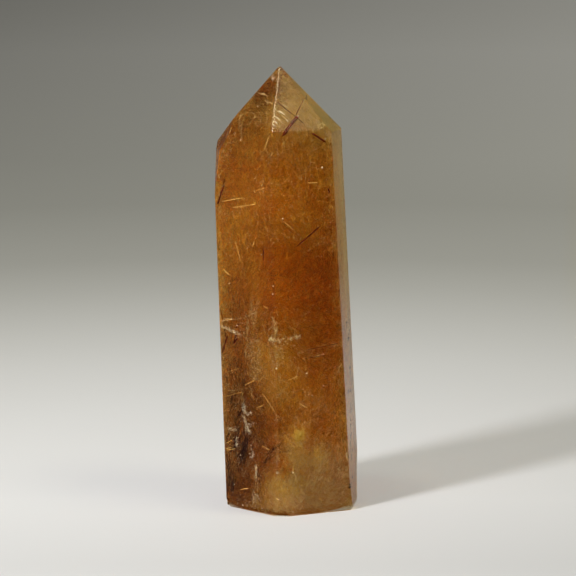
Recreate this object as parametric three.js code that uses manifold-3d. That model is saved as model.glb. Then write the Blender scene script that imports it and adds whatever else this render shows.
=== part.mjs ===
// Rutilated quartz point: a six-sided quartz prism, ground and polished by hand, with a six-faced
// tip and a foot sawn flat so that it stands upright. It is one solid. Every face is one flat grind
// taken off a square blank, every edge is then broken by a narrow bevel, and a few edges are chipped.
//
// Millimetres, +Z up. The origin is the middle of the foot.
// A bearing is an angle in degrees round the upright: 0 faces the front (-Y), 90 the right (+X).
// A lean is how many degrees a face looks up from the level: 0 is upright, 90 faces the sky.
import * as THREE from "three";
import { mergeVertices } from "three/addons/utils/BufferGeometryUtils.js";
import Module from "manifold-3d";

const wasm = await Module();
wasm.setup();

// ---------------------------------------------------------------- driving dimensions
const HEIGHT = 100; // from the foot to the place where the tip's faces meet
const MID_HEIGHT = 45; // the reach of a prism face is measured from the upright at this height
const TIP_TO_RIGHT = -1.2; // the tip stands a little to the left of the upright
const BLANK_WIDTH = 50; // the square blank, wider than the faces leave it
const WASTE_SIZE = 400; // a block of waste, large enough to cover the blank from any side

// The six prism faces. They taper, each at its own rate.
const PRISM = {
  frontRight: { bearing: 21, lean: 1.5, reach: 12.2 },
  frontLeft: { bearing: -38.5, lean: 0.2, reach: 12.1 },
  right: { bearing: 79, lean: 3.2, reach: 13.8 },
  backRight: { bearing: 140.5, lean: 1.1, reach: 12.2 },
  back: { bearing: -159, lean: 1, reach: 12.4 },
  backLeft: { bearing: -99.5, lean: -2.2, reach: 14 },
};

// The right face was ground less deep near the foot, where it flares out again.
const RIGHT_FLARE = { bearing: 79, lean: 6, reach: 11.9 };

// The six faces of the point. All of them pass through the tip.
const POINT = {
  frontRight: { bearing: 21, lean: 40.9 },
  frontLeft: { bearing: -41.5, lean: 39.2 },
  right: { bearing: 82, lean: 41.8 },
  backRight: { bearing: 140, lean: 40 },
  back: { bearing: -160, lean: 40 },
  backLeft: { bearing: -101, lean: 39.6 },
};

// Small extra faces on the point. clear is the distance by which a face misses the tip.
const POINT_CORNERS = {
  rightShoulder: { bearing: 34, lean: 15.8, clear: 8.3 },
  leftShoulder: { bearing: -48, lean: 35.7, clear: 1 },
  backShoulder: { bearing: 172, lean: 21, clear: 7.4 },
  bluntTip: { bearing: -10, lean: 80, clear: -0.35 },
};

// Small extra faces on the prism, where an upright edge was ground back.
const PRISM_CORNERS = {
  leftShoulder: { bearing: -80, lean: 24.7, reach: 28.85 },
  upperLeft: { bearing: -80, lean: 5.4, reach: 18.35 },
  upperRight: { bearing: 112, lean: 3, reach: 15.5 },
  frontFoot: { bearing: -3, lean: -5.6, reach: 18.1 },
  rightFoot: { bearing: 110, lean: -11.2, reach: 22.8 },
  backFoot: { bearing: -128, lean: -6.5, reach: 18.2 },
};

// Widths of the bevels that break the edges.
const FRONT_RIDGE_BEVEL = 0.42;
const RIDGE_BEVEL = 0.22;
const UPRIGHT_BEVEL = 0.2;
const SHOULDER_BEVEL = 0.14;
const FOOT_BEVEL = 0.34;

// Chips broken out of the prism's edges, each by its two faces, its height and its radius.
const CHIPS = [
  { faces: ["frontRight", "right"], height: 12.6, radius: 0.45 },
  { faces: ["frontRight", "right"], height: 83.8, radius: 0.5 },
  { faces: ["frontLeft", "backLeft"], height: 0.2, radius: 1.1 },
  { faces: ["backRight", "back"], height: 58, radius: 0.5 },
  { faces: ["back", "backLeft"], height: 21, radius: 0.6 },
];
const CHIP_STRETCH = 1.7; // a chip is longer along its edge than across it

const POLISHED_QUARTZ = { color: 0x8a5014, roughness: 0.08, metalness: 0 };

// ---------------------------------------------------------------- planes
const UP = new THREE.Vector3(0, 0, 1);
const MIDDLE = new THREE.Vector3(0, 0, MID_HEIGHT);
const TIP = new THREE.Vector3(TIP_TO_RIGHT, 0, HEIGHT);
const FOOT = new THREE.Plane(new THREE.Vector3(0, 0, -1), 0);

// The outward direction of a face.
function facing({ bearing, lean }) {
  const turn = THREE.MathUtils.degToRad(bearing);
  const rise = THREE.MathUtils.degToRad(lean);
  const level = Math.cos(rise);
  return new THREE.Vector3(Math.sin(turn) * level, -Math.cos(turn) * level, Math.sin(rise));
}

// The plane of a face that stands off a known place by a distance, outwards.
function planeOff(face, place, distance) {
  const normal = facing(face);
  return new THREE.Plane(normal, -(normal.dot(place) + distance));
}

function prismPlane(face) {
  return planeOff(face, MIDDLE, face.reach);
}

function pointPlane(face) {
  return planeOff(face, TIP, face.clear ?? 0);
}

// The plane of a bevel of one width along the edge where two faces meet.
function bevelPlane(first, second, width) {
  const halfTurn = first.normal.angleTo(second.normal) / 2;
  const depth = (width / 2) * Math.tan(halfTurn);
  const normal = first.normal.clone().add(second.normal);
  const length = normal.length();
  const constant = (first.constant + second.constant) / length + depth;
  return new THREE.Plane(normal.divideScalar(length), constant);
}

// The place on the edge between two faces at one height.
function edgePlace(first, second, height) {
  const rows = new THREE.Matrix3();
  rows.set(...first.normal.toArray(), ...second.normal.toArray(), ...UP.toArray());
  const distances = new THREE.Vector3(-first.constant, -second.constant, height);
  return distances.applyMatrix3(rows.invert());
}

// ---------------------------------------------------------------- solids
// A closed three.js geometry as a solid that can be cut.
function toSolid(geometry) {
  geometry.deleteAttribute("normal");
  geometry.deleteAttribute("uv");
  const merged = mergeVertices(geometry);
  const mesh = new wasm.Mesh({
    numProp: 3,
    vertProperties: new Float32Array(merged.attributes.position.array),
    triVerts: new Uint32Array(merged.index.array),
  });
  return new wasm.Manifold(mesh);
}

// A cut solid as a three.js geometry.
function toGeometry(solid) {
  const mesh = solid.getMesh();
  const geometry = new THREE.BufferGeometry();
  geometry.setAttribute("position", new THREE.BufferAttribute(mesh.vertProperties, 3));
  geometry.setIndex(new THREE.BufferAttribute(mesh.triVerts, 1));
  return geometry;
}

// The square blank that the prism and its point are ground from.
function blank() {
  const geometry = new THREE.BoxGeometry(BLANK_WIDTH, BLANK_WIDTH, HEIGHT);
  geometry.translate(0, 0, HEIGHT / 2);
  return toSolid(geometry);
}

// The block of waste that lies beyond a plane.
function waste(plane) {
  const geometry = new THREE.BoxGeometry(WASTE_SIZE, WASTE_SIZE, WASTE_SIZE);
  geometry.translate(0, 0, WASTE_SIZE / 2);
  geometry.applyQuaternion(new THREE.Quaternion().setFromUnitVectors(UP, plane.normal));
  const place = plane.coplanarPoint(new THREE.Vector3());
  geometry.translate(place.x, place.y, place.z);
  return toSolid(geometry);
}

// Takes away what lies beyond a plane, or beyond both planes where a second one is given.
function grind(solid, plane, alsoBeyond = null) {
  const block = waste(plane);
  return solid.subtract(alsoBeyond ? block.intersect(waste(alsoBeyond)) : block);
}

// A chip: a small faceted scoop, long along its edge.
function chip(place, along, radius) {
  const geometry = new THREE.IcosahedronGeometry(radius, 0);
  geometry.scale(1, 1, CHIP_STRETCH);
  geometry.applyQuaternion(new THREE.Quaternion().setFromUnitVectors(UP, along));
  geometry.translate(place.x, place.y, place.z);
  return toSolid(geometry);
}

// ---------------------------------------------------------------- the crystal
const prism = Object.fromEntries(Object.entries(PRISM).map(([name, f]) => [name, prismPlane(f)]));
const point = Object.fromEntries(Object.entries(POINT).map(([name, f]) => [name, pointPlane(f)]));
const rightFlare = prismPlane(RIGHT_FLARE);
const ROUND = ["frontLeft", "frontRight", "right", "backRight", "back", "backLeft"];

// Each face's name with the name of the next face round the prism.
const NEIGHBOURS = ROUND.map((name, i) => [name, ROUND[(i + 1) % ROUND.length]]);

function grindFaces(solid) {
  let cut = solid;
  for (const name of ROUND) {
    cut = grind(cut, prism[name], name === "right" ? rightFlare : null);
    cut = grind(cut, point[name]);
  }
  for (const face of Object.values(POINT_CORNERS)) {
    cut = grind(cut, pointPlane(face));
  }
  for (const face of Object.values(PRISM_CORNERS)) {
    cut = grind(cut, prismPlane(face));
  }
  return cut;
}

function breakEdges(solid) {
  let cut = solid;
  for (const [name, next] of NEIGHBOURS) {
    const ridgeWidth = name === "frontLeft" ? FRONT_RIDGE_BEVEL : RIDGE_BEVEL;
    const flare = next === "right" ? bevelPlane(prism[name], rightFlare, UPRIGHT_BEVEL) : null;
    cut = grind(cut, bevelPlane(prism[name], prism[next], UPRIGHT_BEVEL), flare);
    cut = grind(cut, bevelPlane(point[name], point[next], ridgeWidth));
    cut = grind(cut, bevelPlane(prism[name], point[name], SHOULDER_BEVEL));
    cut = grind(cut, bevelPlane(prism[name], FOOT, FOOT_BEVEL));
  }
  return cut;
}

function chipEdges(solid) {
  let cut = solid;
  for (const { faces, height, radius } of CHIPS) {
    const [first, second] = faces.map((name) => prism[name]);
    const along = first.normal.clone().cross(second.normal).normalize();
    cut = cut.subtract(chip(edgePlace(first, second, height), along, radius));
  }
  return cut;
}

function quartzPoint() {
  const solid = chipEdges(breakEdges(grindFaces(blank())));
  const geometry = toGeometry(solid);
  geometry.computeBoundingBox();
  const middle = geometry.boundingBox.getCenter(new THREE.Vector3());
  geometry.translate(-middle.x, -middle.y, 0);
  const material = new THREE.MeshStandardMaterial({ ...POLISHED_QUARTZ, flatShading: true });
  const mesh = new THREE.Mesh(geometry, material);
  mesh.name = "quartz_point";
  return mesh;
}

const group = new THREE.Group();
group.add(quartzPoint());

export default group;
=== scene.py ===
"""Rutilated quartz point: polished, amber-tinted quartz around the rutile that grew in it.

Metres, +Z up, the same frame as the solid. The photograph was taken from the front (-Y).
Places inside the crystal are written in millimetres and turned into metres where they are used.
"""

import math
from collections import namedtuple

import bpy
import numpy as np
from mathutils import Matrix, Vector


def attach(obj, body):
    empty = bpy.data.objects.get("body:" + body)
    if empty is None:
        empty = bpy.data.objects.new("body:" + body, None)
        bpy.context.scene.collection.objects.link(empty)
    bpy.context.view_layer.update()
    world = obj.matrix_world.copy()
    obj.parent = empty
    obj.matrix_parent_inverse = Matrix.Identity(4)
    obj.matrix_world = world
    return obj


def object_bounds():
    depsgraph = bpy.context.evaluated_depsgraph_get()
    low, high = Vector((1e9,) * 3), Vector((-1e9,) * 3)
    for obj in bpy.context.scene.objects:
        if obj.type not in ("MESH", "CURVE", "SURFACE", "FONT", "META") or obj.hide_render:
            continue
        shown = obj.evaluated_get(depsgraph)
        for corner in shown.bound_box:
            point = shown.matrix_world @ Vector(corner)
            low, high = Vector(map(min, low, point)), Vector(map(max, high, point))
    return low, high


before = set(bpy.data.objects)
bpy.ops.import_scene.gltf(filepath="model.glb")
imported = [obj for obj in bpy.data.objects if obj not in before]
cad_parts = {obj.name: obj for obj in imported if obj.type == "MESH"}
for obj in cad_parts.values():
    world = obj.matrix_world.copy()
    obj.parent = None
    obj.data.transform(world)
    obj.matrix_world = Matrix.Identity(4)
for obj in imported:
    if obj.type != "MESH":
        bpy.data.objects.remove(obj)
cad_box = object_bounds()

MM = 0.001
CRYSTAL = "quartz_point"

# ---------------- camera
IMAGE_PX = 576
VIEW_PX = 2655.0  # the focal length, in pixels of the image
SENSOR_MM = 36.0
CAMERA_DISTANCE = 0.6
CAMERA_RISE = 11.0  # degrees above the level
CAMERA_AIM = Vector((0.22, -0.23, 49.55)) * MM

# ---------------- light
# Bearings run from the front (-Y) round by the right (+X); rise is above the level; degrees.
KEY = {"bearing": -50, "rise": 33, "distance": 0.8, "size": 0.12, "watts": 3.3}
SOFTBOX = {"bearing": 69, "rise": 61.6, "distance": 0.9, "size": 0.28, "watts": 0.85, "warmth": 0.3}
RIDGE_BOX = {"bearing": -64, "rise": 76.4, "distance": 0.9, "size": 0.10, "watts": 0.5, "warmth": 0.25}
FILL = {"bearing": 50, "rise": 38, "distance": 1.4, "size": 1.6, "watts": 9.2, "shadow": False}
ROOM = (0.215, 0.210, 0.185)
# Low behind, out of the picture but seen in the crystal's polish, the room is dim on the left and
# warm on the right, from the first angle off these bearings to the full at the second.
ROOM_DIM = {"bearing": -153, "tint": (0.30, 0.30, 0.30)}
ROOM_WARM = {"bearing": 153, "colour": (0.33, 0.27, 0.10)}
ROOM_CORNER = (19, 10)
LIGHT_AIM = Vector((0, 0, 0.06))
GREEN_LOSS = 0.15  # what a warm lamp lacks in green, as a share of what it lacks in blue
WHITE = (1, 1, 1)

# The floor's painted light: its grey by distance from the crystal, its dimming towards the camera, and
# how much it brightens to the right, per metre, from just before the crystal to well behind it.
FLOOR_SIZE = 6.0
PAPER_GREEN = 1.002  # times its red
PAPER_BLUE, PAPER_BLUER = 0.87, 0.21  # times its red in the dark, and how much more in the light
FLOOR_POOL = [(0.0, 0.79), (0.05, 0.76), (0.10, 0.73), (0.15, 0.68), (0.20, 0.61), (0.26, 0.52),
              (0.31, 0.46), (0.43, 0.43), (0.62, 0.49), (1.0, 0.61), (1.4, 0.64), (2.0, 0.90)]
FLOOR_AHEAD = [(0.0, 1.0), (0.05, 0.89), (0.07, 0.91), (0.14, 1.15)]
FLOOR_TILT = {"low": -0.04, "high": 0.55, "at_low": -0.8, "at_high": 1.0}
FLOOR_TILT_REACH = 0.25  # beyond this far aside the floor brightens no more
FLOOR_TILT_END = (1.4, 2.0)  # over these distances the two sides grow alike again
# The floor is warm on the right too, beyond a line that runs back at a slope: how far beyond it and
# how far back that begins and is full, and the tint.
FLOOR_WARM = {"slope": 0.11, "aside": (0.06, 0.11), "back": (0.14, 0.30), "tint": (1.06, 0.90, 0.58)}
# Painted amber shade on the paper under the foot, which is only lit through the quartz: its tint, and
# where it gives way to the paper around it, all round and at the foot's nearer edge, at the back on the
# right.
PAINTED_FOOT_SHADE = {"centre": (0.6 * MM, 0, 0), "tint": (0.72, 0.36, 0.08), "within": (11.8 * MM, 12.9 * MM),
              "edge": (0.636, 0.772, 0), "edge_within": (11.3 * MM, 12.2 * MM)}


def direction(bearing, rise):
    """A unit vector towards a bearing and a rise, both in degrees."""
    b, r = math.radians(bearing), math.radians(rise)
    return Vector((math.sin(b) * math.cos(r), -math.cos(b) * math.cos(r), math.sin(r)))


def new_object(name, data):
    """A new object in the scene."""
    thing = bpy.data.objects.new(name, data)
    bpy.context.scene.collection.objects.link(thing)
    return thing


def place_facing(thing, location, away):
    """Puts a camera or a lamp at a place, looking back along away."""
    thing.location = location
    thing.rotation_mode = "QUATERNION"
    thing.rotation_quaternion = (-away).to_track_quat("-Z", "Y")


def add_camera():
    data = bpy.data.cameras.new("camera")
    data.sensor_width = SENSOR_MM
    data.lens = SENSOR_MM * VIEW_PX / IMAGE_PX
    data.clip_start = 0.01
    camera = new_object("camera", data)
    back = direction(0, CAMERA_RISE)
    place_facing(camera, CAMERA_AIM + back * CAMERA_DISTANCE, back)
    bpy.context.scene.camera = camera


def add_lamp(name, bearing, rise, distance, size, watts, warmth=0.0, shadow=True):
    data = bpy.data.lights.new(name, "AREA")
    data.shape = "DISK"
    data.size = size
    data.energy = watts
    data.color = (1, 1 - GREEN_LOSS * warmth, 1 - warmth)
    data.use_shadow = shadow
    lamp = new_object(name, data)
    away = direction(bearing, rise)
    place_facing(lamp, LIGHT_AIM + away * distance, away)
    lamp.visible_transmission = False


def new_material(name):
    """A new material: itself, its node tree and its output node."""
    material = bpy.data.materials.new(name)
    material.use_nodes = True
    tree = material.node_tree
    tree.nodes.clear()
    return material, tree, tree.nodes.new("ShaderNodeOutputMaterial")


def plain_material(name, roughness, specular):
    """A new material with a plain surface: itself, its node tree and the surface's shader."""
    material, tree, out = new_material(name)
    shader = tree.nodes.new("ShaderNodeBsdfPrincipled")
    shader.inputs["Roughness"].default_value = roughness
    shader.inputs["Specular IOR Level"].default_value = specular
    tree.links.new(shader.outputs[0], out.inputs["Surface"])
    return material, tree, shader


def add_noise(tree, scale, detail, roughness=0.5):
    """Noise over the places of an object, with this many lumps to the metre."""
    place = tree.nodes.new("ShaderNodeTexCoord").outputs["Object"]
    noise = tree.nodes.new("ShaderNodeTexNoise")
    noise.inputs["Scale"].default_value = scale
    noise.inputs["Detail"].default_value = detail
    noise.inputs["Roughness"].default_value = roughness
    tree.links.new(place, noise.inputs["Vector"])
    return noise.outputs["Fac"]


def add_ramp(tree, value, stops):
    """A colour ramp over a value; stops are (position, colour) pairs."""
    ramp = tree.nodes.new("ShaderNodeValToRGB")
    band = ramp.color_ramp
    while len(band.elements) < len(stops):
        band.elements.new(0.5)
    for element, (position, colour) in zip(band.elements, stops):
        element.position = position
        element.color = (*colour, 1)
    tree.links.new(value, ramp.inputs["Fac"])
    return ramp.outputs["Color"]


def paper(grey):
    """The paper's colour at a grey of the painted light: the darker, the warmer."""
    return (grey, grey * PAPER_GREEN, grey * (PAPER_BLUE + PAPER_BLUER * grey))


def add_maths(tree, operation, first, second):
    """A Math node over two links or numbers."""
    node = tree.nodes.new("ShaderNodeMath")
    node.operation = operation
    for socket, value in zip(node.inputs, (first, second)):
        if isinstance(value, (int, float)):
            socket.default_value = value
        else:
            tree.links.new(value, socket)
    return node.outputs[0]


def add_product(tree, first, second):
    """The product of two colours."""
    node = tree.nodes.new("ShaderNodeMix")
    node.data_type = "RGBA"
    node.blend_type = "MULTIPLY"
    node.inputs["Factor"].default_value = 1.0
    tree.links.new(first, node.inputs["A"])
    tree.links.new(second, node.inputs["B"])
    return node.outputs["Result"]


def add_range(tree, value, low, high, at_low=0, at_high=1):
    """Maps a value from low to high to a number from at_low to at_high, held beyond them."""
    node = tree.nodes.new("ShaderNodeMapRange")
    for name, number in zip(("From Min", "From Max", "To Min", "To Max"), (low, high, at_low, at_high)):
        node.inputs[name].default_value = number
    tree.links.new(value, node.inputs["Value"])
    return node.outputs["Result"]


def add_measure(tree, operation, vector, constant):
    """A Vector Math node that gives a number for a link and a constant vector."""
    node = tree.nodes.new("ShaderNodeVectorMath")
    node.operation = operation
    node.inputs[1].default_value = constant
    tree.links.new(vector, node.inputs[0])
    return node.outputs["Value"]


def add_nearness(tree, vector, aim, within):
    """From 0 to 1 between two cosines of a direction to the aim, or distances of a place along it."""
    return add_range(tree, add_measure(tree, "DOT_PRODUCT", vector, aim), *within)


def pool_of_light(tree, distance):
    """The paper's colour by distance from the crystal: a painted pool of light."""
    reach = FLOOR_POOL[-1][0]
    share = add_maths(tree, "DIVIDE", distance, reach)
    return add_ramp(tree, share, [(at / reach, paper(grey)) for at, grey in FLOOR_POOL])


def painted_dimming_ahead(tree, y):
    """How much the painted light on the floor dims towards the camera."""
    ahead = add_maths(tree, "MULTIPLY", y, -1.0)
    return add_ramp(tree, ahead, [(at, (share, share, share)) for at, share in FLOOR_AHEAD])


def painted_brightening_right(tree, x, y, distance):
    """How much the painted light on the floor brightens to the right."""
    tilt = add_maths(tree, "MULTIPLY", add_range(tree, y, **FLOOR_TILT),
                     add_range(tree, distance, *FLOOR_TILT_END, 1, 0))
    limits = (-FLOOR_TILT_REACH, FLOOR_TILT_REACH)
    aside = add_maths(tree, "MULTIPLY", add_range(tree, x, *limits, *limits), tilt)
    return add_maths(tree, "ADD", aside, 1.0)


def painted_amber_under_foot(tree, place):
    """Painted amber shade on the paper that the crystal stands on, as if lit only through the quartz.
    """
    distance = add_measure(tree, "DISTANCE", place, PAINTED_FOOT_SHADE["centre"])
    around = add_range(tree, distance, *PAINTED_FOOT_SHADE["within"])
    behind = add_nearness(tree, place, PAINTED_FOOT_SHADE["edge"], PAINTED_FOOT_SHADE["edge_within"])
    beside = add_maths(tree, "MAXIMUM", around, behind)
    return add_ramp(tree, beside, [(0.0, PAINTED_FOOT_SHADE["tint"]), (1.0, WHITE)])


def warm_corner(tree, x, y, slope, aside, back, tint):
    """The floor's warmer tint on the right behind the crystal."""
    beyond = add_maths(tree, "SUBTRACT", x, add_maths(tree, "MULTIPLY", y, slope))
    share = add_maths(tree, "MULTIPLY", add_range(tree, beyond, *aside), add_range(tree, y, *back))
    return add_ramp(tree, share, [(0.0, WHITE), (1.0, tint)])


def floor_material():
    """Pale paper with a painted pool of light, and painted amber shade under the foot."""
    material, tree, shader = plain_material("floor_paper", roughness=0.9, specular=0.1)
    place = tree.nodes.new("ShaderNodeTexCoord").outputs["Object"]
    parts = tree.nodes.new("ShaderNodeSeparateXYZ")
    tree.links.new(place, parts.inputs[0])
    x, y = parts.outputs["X"], parts.outputs["Y"]
    distance = add_measure(tree, "DISTANCE", place, (0, 0, 0))
    colour = pool_of_light(tree, distance)
    for tint in (painted_dimming_ahead(tree, y), painted_brightening_right(tree, x, y, distance),
                 painted_amber_under_foot(tree, place), warm_corner(tree, x, y, **FLOOR_WARM)):
        colour = add_product(tree, colour, tint)
    tree.links.new(colour, shader.inputs["Base Color"])
    return material


def add_floor():
    mesh = bpy.data.meshes.new("floor")
    s = FLOOR_SIZE / 2
    mesh.from_pydata([(-s, -s, 0), (s, -s, 0), (s, s, 0), (-s, s, 0)], [], [(0, 1, 2, 3)])
    mesh.materials.append(floor_material())
    new_object("floor", mesh)


def add_room():
    """Grey light from all round, but for the two corners."""
    world = bpy.data.worlds.new("room")
    world.use_nodes = True
    tree = world.node_tree
    towards = tree.nodes.new("ShaderNodeTexCoord").outputs["Generated"]
    within = [math.cos(math.radians(angle)) for angle in ROOM_CORNER]
    warm = add_nearness(tree, towards, direction(ROOM_WARM["bearing"], 0), within)
    dim = add_nearness(tree, towards, direction(ROOM_DIM["bearing"], 0), within)
    colour = add_product(tree, add_ramp(tree, warm, [(0.0, ROOM), (1.0, ROOM_WARM["colour"])]),
                         add_ramp(tree, dim, [(0.0, WHITE), (1.0, ROOM_DIM["tint"])]))
    tree.links.new(colour, tree.nodes["Background"].inputs["Color"])
    bpy.context.scene.world = world


# ---------------- the crystal as planes
SMALLEST_FACE = 2e-6  # square metres: planes of smaller faces hardly cut the inside
FLARE = 1 * MM  # a plane that leaves this much of the crystal outside is the flare of the right foot
SKIN = 0.12 * MM  # everything inside stays this far under the surface
EDGE_ON = 0.05  # a face whose normal has no larger cosine to a bearing isn't seen from there


def crystal_planes():
    """The planes that bound the crystal, as outward normals and distances."""
    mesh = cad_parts[CRYSTAL].data
    faces = [face for face in mesh.polygons if face.area > SMALLEST_FACE]
    normals = np.array([face.normal[:] for face in faces])
    distances = np.array([face.normal.dot(face.center) for face in faces])
    keys = np.round(np.column_stack([normals, distances / MM]), 3)
    _, first = np.unique(keys, axis=0, return_index=True)
    normals, distances = normals[first], distances[first]
    corners = np.array([corner.co[:] for corner in mesh.vertices])
    bounding = (corners @ normals.T - distances).max(axis=0) < FLARE
    return normals[bounding], distances[bounding]


NORMALS, DISTANCES = crystal_planes()


def depth(points):
    """How far under the surface each point lies."""
    return (DISTANCES - points @ NORMALS.T).min(axis=1)


def under_face(bearing, across, height, below):
    """The point seen from a bearing at across and height, a little below the face there; mm in."""
    towards = np.array(direction(bearing, 0))
    right = np.array(direction(bearing + 90, 0))
    point = right * across * MM + np.array((0, 0, height * MM))
    slope = NORMALS @ towards
    facing = slope > EDGE_ON
    reach = (DISTANCES[facing] - below * MM - NORMALS[facing] @ point) / slope[facing]
    return point + towards * reach.min()


def random_inside(rng, count, shallowest, deepest=math.inf):
    """Random points between two depths under the surface."""
    low, high = (np.array(corner) for corner in cad_box)
    found = np.empty((0, 3))
    while len(found) < count:
        tries = rng.uniform(low, high, (count * 2, 3))
        under = depth(tries)
        found = np.vstack([found, tries[(under > shallowest) & (under < deepest)]])
    return found[:count]


def lying_flat(rng, points, flatness):
    """Random directions that lie along the nearest face, the more so the closer flatness is to 1."""
    nearest = NORMALS[(DISTANCES - points @ NORMALS.T).argmin(axis=1)]
    along = unit(rng.normal(size=points.shape))
    return unit(along - flatness * (along * nearest).sum(axis=1, keepdims=True) * nearest)


def unit(vectors):
    return vectors / np.linalg.norm(vectors, axis=-1, keepdims=True)


def clip_to_crystal(start, end):
    """Cuts the ends of straight needles, whose middles are inside, back to the crystal's skin."""
    along = end - start
    gap = DISTANCES - SKIN - start @ NORMALS.T
    slope = along @ NORMALS.T
    with np.errstate(divide="ignore", invalid="ignore"):
        cut = gap / slope
    last = np.clip(np.where(slope > 0, cut, 1).min(axis=1), 0, 1)
    first = np.clip(np.where(slope < 0, cut, 0).max(axis=1), 0, 1)
    return start + along * first[:, None], start + along * last[:, None]


NOISE_SIDE = 64  # lumps before the noise repeats
NOISE_SHIFT = 1000.0  # keeps its cells' numbers positive
NOISE_MIDDLE = 0.5


def soft_noise(points, lump, seed):
    """Smooth noise from 0 to 1, with lumps of the given size."""
    grid = np.random.default_rng(seed).uniform(0, 1, (NOISE_SIDE,) * 3)
    scaled = points / lump + NOISE_SHIFT
    cell = np.floor(scaled).astype(int)
    part = scaled - cell
    part = part * part * (3 - 2 * part)
    total = np.zeros(len(points))
    for corner in np.ndindex(2, 2, 2):
        weight = np.where(corner, part, 1 - part).prod(axis=1)
        x, y, z = ((cell + corner) % NOISE_SIDE).T
        total += weight * grid[x, y, z]
    return total


# ---------------- meshes
def mesh_of_copies(name, points, pattern):
    """One mesh of many small bodies: the points of each, and the triangles that all of them have."""
    copies, points_each = points.shape[:2]
    faces = np.arange(copies)[:, None, None] * points_each + np.array(pattern)
    mesh = bpy.data.meshes.new(name)
    mesh.vertices.add(copies * points_each)
    mesh.vertices.foreach_set("co", points.astype(np.float32).ravel())
    mesh.loops.add(faces.size)
    mesh.loops.foreach_set("vertex_index", faces.astype(np.int32).ravel())
    mesh.polygons.add(faces.size // 3)
    mesh.polygons.foreach_set("loop_start", np.arange(0, faces.size, 3, dtype=np.int32))
    mesh.update(calc_edges=True)
    return mesh


UPRIGHT = 0.9  # the rise of a direction that is too near the vertical to be crossed with it


def two_sides(along):
    """Two directions square to each needle and to each other."""
    upright = np.abs(along[:, 2:]) > UPRIGHT
    side = unit(np.cross(along, np.where(upright, (1.0, 0, 0), (0, 0, 1.0))))
    return side, np.cross(along, side)


def slivers(name, start, end, width):
    """Hair-fine needles, each a long four-faced sliver."""
    side, other = two_sides(unit(end - start))
    middle = (start + end) / 2
    left = middle + side * width[:, None]
    right = middle + other * width[:, None]
    points = np.stack([start, end, left, right], axis=1)
    return mesh_of_copies(name, points, [(0, 2, 3), (0, 1, 2), (0, 3, 1), (1, 3, 2)])


ROD_SIDES = 6
ROD_TAPER = 0.12  # the share of a needle's length that each end takes to narrow


def rods(name, start, end, width):
    """Larger needles: six-sided prisms that narrow to a point at each end."""
    along = end - start
    side, other = two_sides(unit(along))
    points = [start]
    for at in (ROD_TAPER, 1 - ROD_TAPER):
        for k in range(ROD_SIDES):
            turn = 2 * math.pi * k / ROD_SIDES
            spoke = (side * math.cos(turn) + other * math.sin(turn)) * width[:, None] / 2
            points.append(start + along * at + spoke)
    points.append(end)
    last = 2 * ROD_SIDES + 1
    pattern = []
    for k in range(ROD_SIDES):
        a, b = 1 + k, 1 + (k + 1) % ROD_SIDES
        c, d = a + ROD_SIDES, b + ROD_SIDES
        pattern += [(0, b, a), (a, b, d), (a, d, c), (c, d, last)]
    return mesh_of_copies(name, np.stack(points, axis=1), pattern)


FLECK_CORNERS = (0.5, 1.0)  # how far out a corner lies, at the least and at the most


def flecks(name, centres, sizes, rng):
    """Specks: lopsided eight-faced grains."""
    corners = np.array([(1, 0, 0), (-1, 0, 0), (0, 1, 0), (0, -1, 0), (0, 0, 1), (0, 0, -1)])
    shape = corners * rng.uniform(*FLECK_CORNERS, (len(centres), len(corners), 1))
    points = centres[:, None] + shape * sizes[:, None, None] / 2
    pattern = [(0, 2, 4), (2, 1, 4), (1, 3, 4), (3, 0, 4), (2, 0, 5), (1, 2, 5), (3, 1, 5), (0, 3, 5)]
    return mesh_of_copies(name, points, pattern)


def add_piece(mesh, material):
    mesh.materials.append(material)
    piece = new_object(mesh.name, mesh)
    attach(piece, "root")


DARKER_AT, LIGHTER_AT = 0.35, 0.65  # the noise where a needle has its darker and its lighter tone


def mineral(name, darker, lighter, roughness=0.4, specular=0.5, lump=1.1 * MM):
    """A needle's material, its colour drifting between two tones along and between needles."""
    material, tree, shader = plain_material(name, roughness, specular)
    drift = add_noise(tree, 1 / lump, detail=2)
    colour = add_ramp(tree, drift, [(DARKER_AT, darker), (LIGHTER_AT, lighter)])
    tree.links.new(colour, shader.inputs["Base Color"])
    return material


# ---------------- clouds of fine rutile
# Each kind of hair: its share where nothing else decides, and its two tones.
Kind = namedtuple("Kind", "share darker lighter")
KINDS = {
    "cream": Kind(0.03, (0.94, 0.78, 0.46), (0.97, 0.87, 0.6)),
    "gold": Kind(0.34, (0.93, 0.64, 0.1), (0.97, 0.74, 0.16)),
    "ochre": Kind(0.34, (0.88, 0.45, 0.05), (0.93, 0.54, 0.07)),
    "rust": Kind(0.16, (0.62, 0.17, 0.01), (0.78, 0.25, 0.02)),
    "umber": Kind(0.12, (0.1, 0.035, 0.015), (0.18, 0.065, 0.025)),
    "khaki": Kind(0.02, (0.66, 0.53, 0.17), (0.78, 0.64, 0.23)),
}
HAIR_COUNT = 155_000
HAIR_LENGTH = 4.0 * MM  # the middle length
HAIR_SPREAD = 0.5  # of the lengths, as the deviation of their logarithm
HAIR_SHORTEST = 0.4 * MM  # what the skin cuts shorter is left out
HAIR_WIDTH = (0.014 * MM, 0.028 * MM)
HAIR_BEND = 9 * MM  # size of the swirls that the hair follows
HAIR_ORDER = 0.9  # how closely it does
HAIR_LUMP = 3.0 * MM  # size of the drifts where one kind gathers
HAIR_DRIFT = 3.5  # how strongly it does
HAIR_MOST = 49_500  # needles in one piece
HAIR_SEED, FLOW_SEED, DRIFT_SEED = 7, 20, 40


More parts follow.
